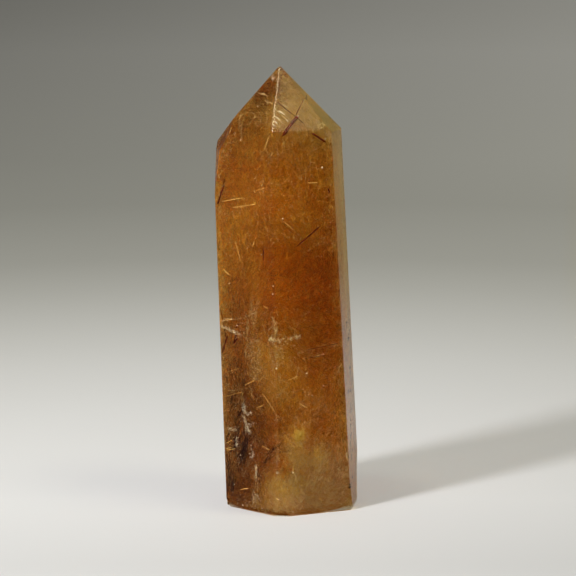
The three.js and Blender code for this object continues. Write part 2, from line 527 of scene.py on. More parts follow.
class Cloud:
    """Where kinds of hair gather: its centre and radii in mm, how much thicker the hair grows there,
    and how strongly each kind gathers, beside the shares above."""

    def __init__(self, centre, radii, thicker=0, **kinds):
        self.centre = np.array(centre) * MM
        self.radii = np.array(radii) * MM
        self.thicker = thicker
        self.kinds = kinds

    def share(self, points):
        """1 at the cloud's middle, falling smoothly to 0 outside it."""
        apart = (points - self.centre) / self.radii
        return np.exp(-(apart**2).sum(axis=1))


CLOUDS = [
    # the core, too thick to see through
    Cloud((0, 4, 45), (9, 6, 38), 1.2),
    # the tip
    Cloud((0, -7, 90), (4, 5, 4), 1.5, khaki=12, cream=3, gold=1),
    Cloud((6, -5, 88), (4, 5, 4), 1.5, khaki=16, gold=5, umber=3.4),
    Cloud((0.8, -2, 95), (1.6, 3, 3), 3, khaki=30, cream=8),
    Cloud((-0.5, 0, 98.5), (2, 3, 2.2), 2, khaki=16, umber=4),
    Cloud((-7, -3, 90), (3.5, 4, 6), 1, khaki=8, umber=3.2, rust=2),
    Cloud((8, -1, 91), (3, 4, 6), 3, khaki=14, gold=4),
    Cloud((-4.5, -1.5, 94.5), (2.3, 4, 3.8), 3, rust=10, umber=40),
    # the front, from the shoulder down
    Cloud((5, -8, 80), (6, 5, 6), gold=2, cream=0.2),
    Cloud((-1, -12, 81.5), (2.5, 2, 2), cream=3, umber=1),
    Cloud((3.5, -11, 73), (2.5, 2, 3), cream=2, umber=1),
    Cloud((-13.5, -2, 74), (2.5, 4, 10), 0.3, rust=7, umber=3),
    Cloud((-13.2, -5.2, 73.5), (0.9, 1.2, 2), 2, rust=40, ochre=10),
    Cloud((4.2, -11.3, 78), (1.5, 1.2, 1.4), umber=2, rust=1),
    Cloud((-7, -11, 64), (9, 3, 22), ochre=2, rust=0.5, umber=0.3),
    Cloud((-3.5, -11.5, 56), (2, 2, 14), rust=3.5, umber=1.2),
    Cloud((-9, -5, 66), (5, 4, 5), gold=1.5),
    Cloud((9, -6, 77), (3, 5, 8), gold=2),
    Cloud((11, -8, 60), (2.2, 3, 24), rust=4, umber=1.5),
    Cloud((-1, -9, 59), (4, 4, 2.5), rust=2),
    Cloud((3, -9, 66), (5, 4, 4), gold=1.2),
    Cloud((1, -10.5, 54), (3, 3, 4), rust=6, umber=4.5),
    Cloud((-3.2, -12, 48.5), (2, 2, 4), rust=5, umber=2.5),
    Cloud((9, -7, 53), (4, 5, 6), 0.2, umber=5.5, rust=5),
    Cloud((2, -9, 54), (4, 4, 5), umber=1.2, rust=2),
    Cloud((-12, -5, 48.5), (4, 4, 6), rust=4, umber=2.2, cream=0.5),
    Cloud((2.8, -8, 48), (4, 4, 3.2), 0.2, rust=6, umber=0.8),
    Cloud((-4, -9, 33), (4.5, 4, 7), 0.3, gold=4, cream=0.8),
    Cloud((-6.6, -11, 36.5), (1, 1.5, 3), 0.5, khaki=9),
    Cloud((-2.2, -13, 37), (1.1, 1.5, 2.2), 0.5, khaki=9, cream=3),
    Cloud((-3.2, -12.5, 28), (2, 1.5, 2.6), 0.5, khaki=9, gold=3),
    Cloud((-7.4, -10.5, 47.5), (0.8, 1.2, 1), 1, cream=12),
    Cloud((8, -7, 37), (6, 4, 6), rust=2.2, umber=0.6, gold=0.8),
    Cloud((10.5, -9.5, 37.5), (2, 1.5, 1.2), 0.5, cream=5),
    # the foot; its cream and gold clouds are paler partly to paint in the glow of light gathering there
    Cloud((-12, -5, 12), (5.5, 8, 16), 0.6, umber=27, rust=8),
    Cloud((-12.5, -5, 34), (3.5, 6, 10), 0.4, umber=11, rust=12),
    Cloud((-4, -9, 11.5), (2.5, 3, 3), 0.5, rust=5),
    Cloud((-2, -9, 21), (3, 4, 4), rust=1.5, umber=0.8),
    Cloud((2.7, -12.3, 18.3), (1.3, 1.6, 1.4), 4, gold=80, cream=8),
    Cloud((2.2, -11.5, 13), (2.6, 3, 5), 4, cream=42, gold=16, ochre=12),
    Cloud((7.2, -10, 12.6), (2.2, 2.8, 2.2), 4, cream=80, gold=26, ochre=8),
    Cloud((1, -12, 6.2), (4.8, 3, 2.8), 4, cream=40, gold=22, ochre=12),
    Cloud((3.5, -12, 3), (6, 2.4, 2), 4, cream=44, rust=13, ochre=8),
    Cloud((7.5, -10.2, 6.5), (3.6, 3, 5), 4, cream=44, rust=10, ochre=8),
    Cloud((-0.4, -13.2, 10.6), (1.9, 1.3, 1.2), 4, rust=120, umber=22),
    Cloud((4.6, -12, 9.7), (1.4, 1, 0.8), 3, rust=70, umber=4),
    Cloud((5, -11.9, 15.5), (1.1, 1.2, 2), 3, rust=50, umber=5),
    Cloud((12, -8.8, 7), (2.4, 2.4, 7), 4, rust=14, cream=32),
    Cloud((8, -10, 23), (4, 2.5, 4), cream=1.5),
    *[Cloud(place, (1, 1.5, 1.6), 3, rust=50, umber=18)
      for place in ((-2.8, -12.3, 15.5), (-4.5, -11.3, 12.7), (-6.2, -10, 10))],
    Cloud((-0.6, -13.1, 12.6), (1.3, 1, 0.8), 2, rust=40),
    Cloud((-4.2, -12, 7.5), (1.2, 1.5, 3.5), 1, rust=16),
    Cloud((4, -12.4, 1.8), (4, 1.2, 0.8), 1, rust=24),
    Cloud((10.6, -9.6, 12), (1, 1.2, 3), 1, rust=16),
    Cloud((0, 0, 0.5), (17, 15, 2.2), 4, gold=3, rust=2),
    # the right side and the back; the cream clouds under the right side are paler partly to paint in
    # the light that crosses the crystal to it
    Cloud((11.5, 4, 80), (1.8, 4.6, 14), 4, khaki=6, cream=30),
    Cloud((13, 4, 57), (1.8, 4.6, 15), 4, khaki=6, cream=44),
    Cloud((14, 1, 30), (1.8, 6.5, 14), 1, khaki=10, cream=6),
    Cloud((14.5, -1, 8), (2, 8, 12), 1, khaki=6, rust=3),
    Cloud((9.5, -7.5, 78), (2.2, 2.5, 6), 0.4, khaki=2),
    Cloud((-6, 9, 20), (6, 5, 14), umber=2.5),
    Cloud((6, 8, 30), (4, 4, 8), 0.4, ochre=2, rust=1),
    Cloud((4, 9, 60), (5, 4, 8), rust=2.5),
    Cloud((-5, 9, 76), (5, 4, 9), 0.2, gold=2.5),
]
HAIR_THICKEST = 5.0  # times the plainest growth; nowhere is it thicker


def hair_centres(rng):
    """Places for the hair, closer together where the clouds thicken it."""
    tries = random_inside(rng, int(HAIR_COUNT * HAIR_THICKEST), 2 * SKIN)
    growth = 1 + sum(cloud.thicker * cloud.share(tries) for cloud in CLOUDS)
    kept = tries[rng.random(len(tries)) * HAIR_THICKEST < growth]
    return kept[:HAIR_COUNT]


def kind_weights(points):
    """How likely each kind of hair is at each point."""
    weights = []
    for k, (name, kind) in enumerate(KINDS.items()):
        drift = soft_noise(points, HAIR_LUMP, DRIFT_SEED + k)
        weight = kind.share * np.exp(HAIR_DRIFT * (drift - NOISE_MIDDLE))
        for cloud in CLOUDS:
            if name in cloud.kinds:
                weight += cloud.kinds[name] * cloud.share(points)
        weights.append(weight)
    weights = np.stack(weights, axis=1)
    return weights / weights.sum(axis=1, keepdims=True)


def add_hair():
    rng = np.random.default_rng(HAIR_SEED)
    centres = hair_centres(rng)
    count = len(centres)
    flow = np.stack([soft_noise(centres, HAIR_BEND, FLOW_SEED + k) for k in range(3)], axis=1)
    flow = unit(flow - NOISE_MIDDLE)
    along = unit(HAIR_ORDER * flow + unit(rng.normal(size=centres.shape)))
    length = rng.lognormal(math.log(HAIR_LENGTH), HAIR_SPREAD, count)
    width = rng.uniform(*HAIR_WIDTH, count)
    half = along * length[:, None] / 2
    start, end = clip_to_crystal(centres - half, centres + half)
    chosen = (kind_weights(centres).cumsum(axis=1) < rng.random((count, 1))).sum(axis=1)
    whole = np.linalg.norm(end - start, axis=1) > HAIR_SHORTEST
    for k, (name, kind) in enumerate(KINDS.items()):
        mine = np.flatnonzero((chosen == k) & whole)[:HAIR_MOST]
        mesh = slivers("rutile_hair_" + name, start[mine], end[mine], width[mine])
        add_piece(mesh, mineral("rutile_" + name, kind.darker, kind.lighter))


# ---------------- needles seen one by one
# From and to as (across, height), seen from the front, width, and depth under the face; mm.
Needle = namedtuple("Needle", "start end width below", defaults=[0.4])
DARK_NEEDLES = [
    Needle((4.2, 93.2), (1.9, 89.7), 0.32, 0.3),
    Needle((2.6, 89.8), (-1.2, 85.6), 0.74),
    Needle((5.3, 86.2), (8.6, 83.8), 0.46, 0.35),
    Needle((-2.3, 92.6), (1.3, 89.9), 0.22, 0.25),
    Needle((1.3, 89.9), (3.7, 88), 0.16, 0.3),
    Needle((7.4, 65.4), (2.1, 61.1), 0.32),
    Needle((-13.9, 73.7), (-15.5, 69), 0.4, 0.5),
    Needle((-5.1, 60.6), (-5.1, 57.7), 0.28, 0.5),
    Needle((-10.7, 42.8), (-11.4, 41.6), 0.3),
    Needle((-11.2, 40.2), (-11.9, 37.8), 0.5, 0.5),
    Needle((-10.9, 39.4), (-11.7, 38.1), 0.4, 0.6),
    Needle((-13.2, 39.8), (-14.5, 35.3), 0.34, 0.5),
    Needle((11.8, 38.6), (4.2, 37.6), 0.12, 0.6),
    Needle((7.6, 36), (3.9, 35.7), 0.12, 0.6),
    Needle((9, 73.6), (9.4, 72.6), 0.34),
]
GOLD_NEEDLES = [
    Needle((-3.9, 85.7), (-4.9, 82.6), 0.18, 0.3),
    Needle((-14.6, 69.9), (-9.3, 71.5), 0.16),
    Needle((-12.4, 68.8), (-6.5, 70.4), 0.15),
    Needle((-6.9, 73.3), (-4, 74.4), 0.12, 0.6),
    Needle((4.3, 75.1), (6.8, 75), 0.15, 0.5),
    Needle((-0.9, 66.9), (1.5, 64.7), 0.13, 0.7),
    Needle((-11.4, 61.4), (-10.2, 57.2), 0.13, 0.6),
    Needle((-7.1, 61.8), (-7.6, 60.5), 0.14, 0.5),
    Needle((-14.3, 54.7), (-12.6, 53.4), 0.16),
    Needle((-5.2, 47.7), (-4.1, 47.2), 0.16, 0.5),
    Needle((-14.5, 42.9), (-12.1, 43.5), 0.14),
    Needle((-13.4, 31.2), (-10.4, 32.6), 0.09, 0.5),
    Needle((-9.5, 28.8), (-7.1, 30.5), 0.15),
    Needle((-0.4, 30.9), (2.6, 31.9), 0.12, 0.5),
    Needle((-14.3, 25.2), (-9.7, 27.3), 0.09),
    Needle((-5.6, 28.1), (-2.3, 23.5), 0.09),
    Needle((-6.8, 24.2), (-5.2, 25), 0.15),
    Needle((2.6, 25.7), (4.7, 24.3), 0.15, 0.3),
    Needle((-5.6, 15.7), (-3.6, 15), 0.12),
    Needle((-13.6, 14.6), (-12.2, 15.7), 0.14),
    Needle((-13.8, 13.3), (-12.4, 13.9), 0.14),
    Needle((-10.6, 4.4), (-8.6, 5.2), 0.22, 0.3),
    Needle((-13.7, 13), (-11.5, 13.8), 0.14, 0.3),
    Needle((1.4, 11.6), (1.2, 10.2), 0.14, 0.3),
    Needle((-2.4, 4.4), (-1.9, 3.7), 0.16, 0.3),
    Needle((7.2, 3.6), (7.9, 2.7), 0.14, 0.3),
    Needle((-10.2, 89.4), (-10.5, 88.2), 0.12, 0.3),
    Needle((-12.2, 86.6), (-12.7, 85.2), 0.12, 0.3),
]
# Growth lines near the foot of the tip's front edge: pale rods whose brightness is a painted glint of
# the light they catch.
PAINTED_GLINT_LINES = [
    Needle((-1.9, 90.8), (-0.5, 90), 0.28, 0.22),
    Needle((-2.6, 89.7), (-1.6, 89.1), 0.19, 0.22),
    Needle((-2.9, 88.9), (-2.2, 88.4), 0.18, 0.22),
    Needle((-3, 88.1), (-2.5, 87.7), 0.16, 0.22),
    Needle((-0.3, 89.1), (0.3, 88.5), 0.18, 0.22),
    Needle((-1, 92.1), (0.4, 91.2), 0.12, 0.22),
]
FRONT = 0  # the bearing that these lists are seen from
# The part of the crystal that the photograph doesn't show.
HIDDEN_BEHIND = 1 * MM
HIDDEN_LEFT_OF = 11 * MM
HIDDEN_BELOW = 80 * MM
HIDDEN_WIDTHS = (0.6, 1.3)  # the thinnest and the thickest needle there, as shares of the width


def needle_ends(needles):
    """Both ends of each needle in a list."""
    start = np.array([under_face(FRONT, *needle.start, needle.below) for needle in needles])
    end = np.array([under_face(FRONT, *needle.end, needle.below) for needle in needles])
    return clip_to_crystal(start, end)


def scattered_needles(rng, count, shallowest=0.3, deepest=2.0, shortest=2, longest=9):
    """Larger needles at random under the faces that the photograph doesn't show; mm."""
    centres = random_inside(rng, count * 4, shallowest * MM, deepest * MM)
    x, y, z = centres.T
    hidden = (y > HIDDEN_BEHIND) & (x < HIDDEN_LEFT_OF) & (z < HIDDEN_BELOW)
    centres = centres[hidden][:count]
    along = lying_flat(rng, centres, flatness=0.9)
    half = along * rng.uniform(shortest, longest, (len(centres), 1)) * MM / 2
    return clip_to_crystal(centres - half, centres + half)


FINE_DEPTH = (0.2 * MM, 2.2 * MM)  # finer needles are only seen this close under the surface
FINE_LUMP = 5 * MM  # size of their drifts
FINE_SPREAD = 0.5  # of their lengths, as the deviation of their logarithm


def add_fine_needles(name, count, widths, length, seed, material):
    """Fine needles in drifts just under every face; widths and middle length in mm."""
    rng = np.random.default_rng(seed)
    centres = random_inside(rng, count * 2, *FINE_DEPTH)
    drift = soft_noise(centres, FINE_LUMP, seed)
    centres = centres[drift > np.median(drift)]
    along = lying_flat(rng, centres, flatness=0.8)
    half = along * rng.lognormal(math.log(length / 2), FINE_SPREAD, (len(centres), 1)) * MM
    start, end = clip_to_crystal(centres - half, centres + half)
    add_piece(slivers(name, start, end, rng.uniform(*widths, len(start)) * MM), material)


def add_needles(name, needles, material, hidden=0, hidden_width=0.0):
    """The needles of a list, and more of their kind where the photograph doesn't show the crystal."""
    rng = np.random.default_rng(len(needles))
    start, end = needle_ends(needles)
    widths = np.array([needle.width for needle in needles])
    if hidden:
        more_start, more_end = scattered_needles(rng, hidden)
        start = np.vstack([start, more_start])
        end = np.vstack([end, more_end])
        more_widths = rng.uniform(*HIDDEN_WIDTHS, len(more_start)) * hidden_width
        widths = np.concatenate([widths, more_widths])
    add_piece(rods(name, start, end, widths * MM), material)


# ---------------- frosty wisps and flecks
# A path as (across, height), seen from a bearing, how far the wisp spreads sideways, the number of
# slivers, their lean off the path in degrees, where 80 is every way, and the depth under the face; mm.
Wisp = namedtuple("Wisp", "path spread count lean below", defaults=[80, 0.3])
RING_STEPS = 8


def ring(across, height, radius):
    """A closed path round a centre."""
    turns = [2 * math.pi * k / RING_STEPS for k in range(RING_STEPS + 1)]
    return [(across + radius * math.cos(turn), height + radius * math.sin(turn)) for turn in turns]


# Seen from the front, down to DARK_WISPS. These paths have both slivers and grains.
STREAK = [(-14.7, 41.5), (-12.6, 40.9), (-10.3, 40.3)]
KNOT = [(-9.9, 21.6), (-9.2, 19.8), (-8.4, 18.1)]
CURTAIN_LEFT = [(-7.8, 39.1), (-8, 35), (-7.4, 30.1)]
CURTAIN_RIGHT = [(-6.5, 38.7), (-6.7, 34.1), (-5.6, 30.9)]
FOOT_VEIL = [(-7.2, 11), (-6.8, 7.6), (-6.8, 1.8)]
PALE_WISPS = [
    # the tip's left face: a wavy fracture, a ring round a speck, and fine growth lines
    Wisp([(-6.6, 94.3), (-5.9, 93.8), (-5.1, 93.9), (-4.3, 93.5)], 0.2, 60, 14),
    Wisp([(-4.9, 92.7), (-4.2, 92.3), (-3.7, 92.4), (-3.1, 92.1)], 0.2, 50, 14),
    Wisp(ring(-7.6, 89.4, 0.6), 0.14, 22, 8),
    Wisp([(-10.6, 86.5), (-10.2, 89.9)], 0.2, 30, 4),
    Wisp([(-10, 84.4), (-9.8, 88)], 0.2, 20, 4),
    Wisp([(-8.2, 91.3), (-6.9, 89.4), (-5, 88.2)], 0.9, 30, 40, 0.4),
    Wisp([(-6.8, 90.1), (-3.9, 90.2)], 0.06, 10, 2),
    Wisp([(-7.2, 89.2), (-3.9, 89.3)], 0.06, 10, 2),
    Wisp([(-7.4, 88.4), (-4, 88.5)], 0.06, 10, 2),
    # the tip's right face: parallel growth lines, pale slivers that paint the glints of the light they
    # catch
    Wisp([(-2.4, 91), (-0.2, 89)], 0.1, 44, 3, 0.25),
    Wisp([(-2.8, 89.9), (-1.2, 88.5)], 0.1, 44, 3, 0.25),
    Wisp([(-2.9, 88.9), (-1.6, 87.6)], 0.12, 34, 3, 0.25),
    Wisp([(-1.6, 90.9), (0.6, 88.9)], 0.08, 30, 3, 0.25),
    Wisp([(6.3, 88.6), (7.6, 86.8)], 0.6, 40, 60),
    Wisp([(3.4, 88), (5.8, 86.9)], 0.6, 40, 60),
    Wisp([(0.6, 92.4), (1.4, 90.8)], 0.6, 24, 50, 0.4),
    Wisp([(9.2, 86), (9.9, 84.4)], 0.6, 40, 60),
    # healed fractures down the front
    Wisp([(-12.1, 43.5), (-9.6, 44.3), (-7.1, 45.8)], 0.2, 30, 4, 0.4),
    Wisp([(-2.9, 45.2), (-2.8, 43.6), (-2.4, 41.9)], 0.5, 45, 5, 0.6),
    Wisp([(-2.9, 40), (-2.4, 37.1), (-2.7, 33.7)], 1.4, 40, 20, 0.4),
    # the web beside them: arcs and a curtain of fibres
    Wisp([(-6, 39.7), (-7.4, 39.4), (-8.8, 38.3), (-9.2, 35.8), (-8.6, 33.3)], 0.4, 80, 14),
    Wisp([(-7.7, 47.4), (-7.8, 44.4), (-6.5, 41.2)], 0.5, 50, 8, 0.4),
    Wisp([(-6, 49), (-6.9, 46.1), (-7.1, 42)], 0.5, 50, 8, 0.4),
    Wisp([(-8.5, 43.6), (-9.2, 39.4)], 0.6, 40, 10, 0.4),
    Wisp(CURTAIN_LEFT, 1.4, 90, 20, 0.4),
    Wisp(CURTAIN_RIGHT, 1.4, 90, 20, 0.4),
    # faint streaks on the right
    Wisp([(1.7, 37.1), (6.9, 38), (12.1, 38.5)], 0.8, 60, 4, 0.5),
    Wisp([(2.2, 35.6), (5.1, 36), (8.2, 36.3)], 0.4, 26, 4, 0.4),
    # the smoky foot
    Wisp(FOOT_VEIL, 1.2, 110, 16, 0.5),
]
# Whiter ones on the left, where the quartz is smoky.
FROST = [
    Wisp(STREAK, 0.4, 110, 12, 0.25),
    Wisp([(-14.6, 42.9), (-13.2, 43.4)], 0.4, 30, 30, 0.25),
    Wisp([(-9.9, 24.6), (-9.7, 23.4), (-9.2, 22.4)], 0.55, 90, 30, 0.2),
    Wisp(KNOT, 0.65, 150, 26, 0.2),
    Wisp([(-9.3, 22.3), (-7.7, 22.7)], 0.4, 34, 20, 0.2),
    Wisp([(-13.4, 18), (-10.8, 18.3)], 0.5, 60, 20, 0.2),
    Wisp([(-9.2, 19.8), (-7.6, 20.4)], 0.6, 30, 30, 0.2),
    Wisp([(-11, 13), (-10, 9)], 1.2, 40, 30),
    Wisp([(-11.5, 16.4), (-11.4, 14.4)], 0.45, 46, 20, 0.2),
    Wisp([(-8.2, 14.9), (-7.5, 13.3), (-7.9, 12.5), (-8.4, 12.5)], 0.3, 70, 20, 0.2),
    Wisp([(-7, 11), (-6.8, 8.5)], 0.3, 44, 14, 0.2),
    Wisp([(-7.8, 3.6), (-6.5, 3.2)], 0.9, 60, 50),
    Wisp([(-2.2, 13.6), (-2.2, 10.4)], 0.35, 9, 8),
    Wisp([(-3.5, 97.7), (-2.9, 97.1)], 0.4, 44, 50, 0.2),
    Wisp([(-2.4, 10.2), (-2, 10.2)], 0.25, 24, 60, 0.2),
]
# Grains along the same fractures.
GRAINS = [
    Wisp(STREAK, 0.5, 20),
    Wisp([(-3.9, 40.3), (-3.2, 40.6), (-0.9, 40.2), (0.9, 40.4), (2.8, 40.8)], 0.7, 200),
    Wisp([(-3.6, 40.4), (-3, 40.2)], 0.5, 40, 80, 0.25),
    Wisp([(1.8, 40.6), (2.9, 40.9)], 0.4, 34, 80, 0.25),
    Wisp([(-2.9, 40), (-2.4, 37.1), (-2.7, 33.7), (-2, 27.6)], 2.2, 150, 80, 0.4),
    Wisp([(-1.5, 39.8), (-1.3, 37.7), (-1.8, 34.2)], 1.2, 50, 80, 0.4),
    Wisp([(-1, 93), (3, 89.5), (7, 87.5)], 3, 70, 80, 0.5),
    Wisp([(8.6, 85.6), (9.8, 84)], 0.8, 30),
    Wisp(CURTAIN_LEFT, 1.6, 110),
    Wisp(CURTAIN_RIGHT, 1.5, 90),
    Wisp([(4, 32), (4.8, 32.6)], 0.6, 16),
    Wisp([(3.4, 28.6), (5.6, 27.4)], 1, 24, 80, 0.4),
    Wisp([(-9.8, 23.8), (-9.3, 22.4)], 0.6, 10),
    Wisp(KNOT, 0.5, 20),
    Wisp([(-13.1, 17.9), (-12.2, 17.8)], 0.7, 8),
    Wisp([(-12, 16), (-10, 13)], 1.6, 24),
    Wisp(FOOT_VEIL, 1.1, 60, 80, 0.4),
    Wisp([(-7, 10.3), (-6.9, 9.5)], 0.3, 18),
    Wisp([(-7.6, 3.2), (-7.2, 2.3)], 0.5, 26),
    Wisp([(-12, 2.2), (-6, 1.2)], 1.2, 90),
    Wisp([(1.1, 10.2), (1.8, 9)], 0.6, 26),
    Wisp([(-1.5, 8), (3.5, 9.5), (9, 4)], 3.6, 130, 80, 0.4),
    Wisp([(13.4, 13.6), (13.6, 11.8)], 0.3, 30, 80, 0.2),
]
# Where the foot glows: knots of golden fibres, partly real and partly a painted glow of the light that
# gathers there.
GLOW = [
    Wisp([(2.4, 18.7), (3, 17.9)], 1.2, 900, 80, 0.6),
    Wisp([(2.2, 16.8), (3, 15.6)], 1.6, 130, 80, 0.8),
    Wisp([(6.4, 14.2), (7.6, 12.4)], 2.2, 450, 80, 0.7),
    Wisp([(2, 14.5), (0.4, 12.8), (2.4, 9.8), (1, 7.2)], 2.6, 420, 80, 0.9),
    Wisp([(-3.6, 8.4), (-0.8, 6), (2.6, 4.6)], 2.4, 260, 80, 0.9),
    Wisp([(-1, 13), (2, 6), (10, 8)], 7, 2200, 80, 1.2),
]
DARK_WISPS = [
    Wisp([(-14.1, 11.9), (-13.4, 7.3), (-13.9, 2.5)], 1.4, 130, 12, 0.4),
    Wisp([(-11.1, 12.5), (-12, 6.9), (-12.7, 3.5)], 1.4, 110, 12, 0.4),
    Wisp([(-9, 17), (-10.4, 11)], 1.1, 170, 14, 0.4),
    Wisp([(-12.8, 13), (-10.8, 19)], 2, 140, 14, 0.5),
    Wisp([(-13.5, 35), (-12, 28)], 2, 50, 14, 0.5),
    Wisp([(-11, 35), (-10.4, 29)], 2, 40, 14, 0.5),
    Wisp([(-9.9, 24.3), (-11.3, 21)], 1.2, 40, 10, 0.4),
    Wisp([(-13.8, 20), (-12, 27)], 2, 50, 14, 0.5),
    Wisp([(-2.5, 16.1), (-4.5, 12.7), (-6.5, 9.3)], 0.9, 46, 8, 0.6),
    Wisp([(-12.3, 50.3), (-13, 43.8)], 2.4, 12, 6, 0.8),
    Wisp([(-14.3, 34), (-12.6, 41)], 1.6, 24, 14, 0.6),
    Wisp([(-15, 68.5), (-13.6, 76)], 0.5, 20, 10, 0.5),
]
# Growth lines under the right side, seen from that side.
SIDE = 79
SIDE_WISPS = [
    Wisp([(4.2, 43.8), (2.6, 30.8), (0.5, 21.9), (-2.6, 11.5)], 0.8, 190, 5, 0.2),
    Wisp([(4, 42.6), (-3, 39.6)], 0.5, 14, 5, 0.15),
    Wisp([(4.6, 39.6), (-3, 36.2)], 0.5, 14, 5, 0.15),
    Wisp([(5.6, 47), (3.6, 30), (2.6, 14)], 1.6, 60, 5, 0.4),
    Wisp([(-2, 44), (-4, 15)], 2, 70, 5, 0.4),
]
# Dark pits in that side's polish.
PIT_PLACES = [(2, 31.4), (-0.8, 26.4), (1.2, 26.2), (-0.2, 21.7), (-1.8, 18.8), (-0.6, 19.8),
              (-0.4, 16.4), (-2.3, 14.9), (-1.6, 16), (-1.3, 11.4), (-2.9, 10.4), (-0.2, 12.6),
              (-2, 6.7), (-5, 5.8), (0.4, 42), (2.2, 38), (-1, 61)]
PIT_REACH = 0.7  # to each side of its place
SIDE_PITS = [Wisp([(across - PIT_REACH, height), (across + PIT_REACH, height)], 0.5, 6, 16, 0.15)
             for across, height in PIT_PLACES]
# Haze in upright bands under that side, below and above the shoulder, pale partly to paint in the light
# that crosses the crystal to that side.
SIDE_PALE = [Wisp([(across, 84), (across, 46)], 2, 600, 10, 0.5) for across in range(-3, 10, 3)]
SIDE_PALE += [Wisp([(across, 94), (across, 86)], 2, 200, 40, 0.4) for across in range(-6, 7, 3)]
# A healed fracture, its web and a few streaks under the back, seen from behind on the left.
BACK = -135
BACK_WISPS = [
    Wisp([(-7, 58), (-4, 55.5), (-1, 55), (3, 56.5)], 0.7, 140, 30, 0.4),
    Wisp([(-2, 54.5), (-2.6, 48), (-1.6, 42)], 1.8, 160, 30, 0.5),
    Wisp([(5, 30), (6.2, 24), (5.4, 17)], 0.7, 150, 14, 0.4),
    Wisp([(-9, 80), (-6, 77), (-4.5, 72)], 0.6, 100, 14, 0.4),
    Wisp([(-3, 90), (0.5, 88.5)], 0.5, 70, 14),
    Wisp([(-6, 22), (-3, 18), (-4, 9)], 1.4, 160, 40, 0.5),
]


def wisp_slivers(wisp, bearing, rng, shortest, longest):
    """Both ends of each sliver in a wisp."""
    path = np.array([under_face(bearing, *place, wisp.below) for place in wisp.path])
    at = rng.uniform(0, len(path) - 1, wisp.count)
    k = np.minimum(at.astype(int), len(path) - 2)
    step = path[k + 1] - path[k]
    centres = path[k] + step * (at - k)[:, None]
    centres += rng.normal(0, wisp.spread * MM / 2, centres.shape)
    off = rng.normal(size=centres.shape) * math.tan(math.radians(wisp.lean))
    along = unit(unit(step) + off)
    half = along * rng.uniform(shortest, longest, (wisp.count, 1)) * MM / 2
    inside = depth(centres) > SKIN
    return clip_to_crystal((centres - half)[inside], (centres + half)[inside])


WISP_SEED = 31
WISP_SHORTEST = 0.1 * MM  # what the skin cuts shorter is left out
WISP_WIDTHS = (0.6, 1.4)  # the narrowest and the widest sliver, as shares of a piece's width


def add_wisps(name, wisps, bearing, shortest, longest, width, material):
    """The slivers of a list of wisps seen from a bearing; lengths and width in mm."""
    rng = np.random.default_rng(WISP_SEED)
    ends = [wisp_slivers(wisp, bearing, rng, shortest, longest) for wisp in wisps]
    start = np.vstack([pair[0] for pair in ends])
    end = np.vstack([pair[1] for pair in ends])
    whole = np.linalg.norm(end - start, axis=1) > WISP_SHORTEST
    start, end = start[whole], end[whole]
    widths = rng.uniform(*WISP_WIDTHS, len(start)) * width * MM
    add_piece(slivers(name, start, end, widths), material)


# Specks seen from the front: (across, height, size), mm.
FLECKS = [
    (-12.4, 43.5, 0.55), (-11.1, 42.3, 0.45), (8.1, 36.4, 0.3), (13.4, 12.5, 0.4),
    (-10.1, 84.3, 0.45), (7.7, 78.3, 0.5), (-1, 67.5, 0.5), (-5.6, 59.2, 0.35),
    (-12.8, 51.6, 0.4), (-3, 52.5, 0.35), (-3.1, 50.7, 0.45), (4.4, 32.3, 0.32),
    (-2.3, 34, 0.4), (8.1, 29.2, 0.45), (5.6, 27.2, 0.35), (-12.8, 18.2, 0.45),
    (-10.9, 16.5, 0.3), (-11.2, 14.9, 0.45), (-8, 22.8, 0.45), (-8, 15.3, 0.35),
    (-8.3, 13.3, 0.4), (-7.7, 13, 0.35), (-10.4, 12.5, 0.4), (-2.2, 10, 0.5),
    (-11.9, 5.4, 0.3), (-12.2, 3.5, 0.3), (-1.9, 3.9, 0.35), (-3, 97.8, 0.35),
    (-3.1, 97.1, 0.3), (-6.4, 91.3, 0.35), (2.4, 89.5, 0.55), (1.3, 10, 0.4),
    (-3.2, 87, 0.4), (8.4, 84.6, 0.4), (-9.9, 0.9, 0.35), (1.3, 0.9, 0.35),
    (-5.6, 1.1, 0.3), (-10, 1, 0.3),
]
FLECKS_BELOW = 0.3  # mm
FLECKS_LARGER = 1.3  # than they look, because their corners lie further in
FLECK_SEED = 5
DUST = {"count": 3000, "depth": (0.25 * MM, 2.5 * MM), "size": (0.08 * MM, 0.28 * MM)}


def add_flecks():
    """The specks of the list, and dust under every face."""
    rng = np.random.default_rng(FLECK_SEED)
    centres = [under_face(FRONT, across, height, FLECKS_BELOW) for across, height, size in FLECKS]
    sizes = [size * FLECKS_LARGER * MM for across, height, size in FLECKS]
    dust = random_inside(rng, DUST["count"], *DUST["depth"])
    centres = np.vstack([centres, dust])
    sizes = np.concatenate([sizes, rng.uniform(*DUST["size"], len(dust))])
    pale = mineral("pale_flecks", (0.90, 0.76, 0.55), (0.96, 0.88, 0.74))
    add_piece(flecks("pale_flecks", centres, sizes, rng), pale)


# ---------------- the crystal's finish
QUARTZ_IOR = 1.544
AMBER = {"colour": (0.985, 0.74, 0.03), "density": 155.0}  # what the quartz absorbs, per metre
SHADE = 0.05  # how much lamplight goes straight through to the floor
LET_IN = (0.86, 0.76, 0.52)  # the tint of the lamplight that reaches the rutile
MIRROR = (0.1, 0.1, 0.1)  # how much of the room its polish mirrors where it is seen straight on
# The uneven polish: the noise of its rubs, and the roughness between two values of that noise.
RUBS = {"scale": 260, "detail": 5, "roughness": 0.65}
POLISH = {"low": 0.35, "high": 0.75, "at_low": 0.02, "at_high": 0.10}


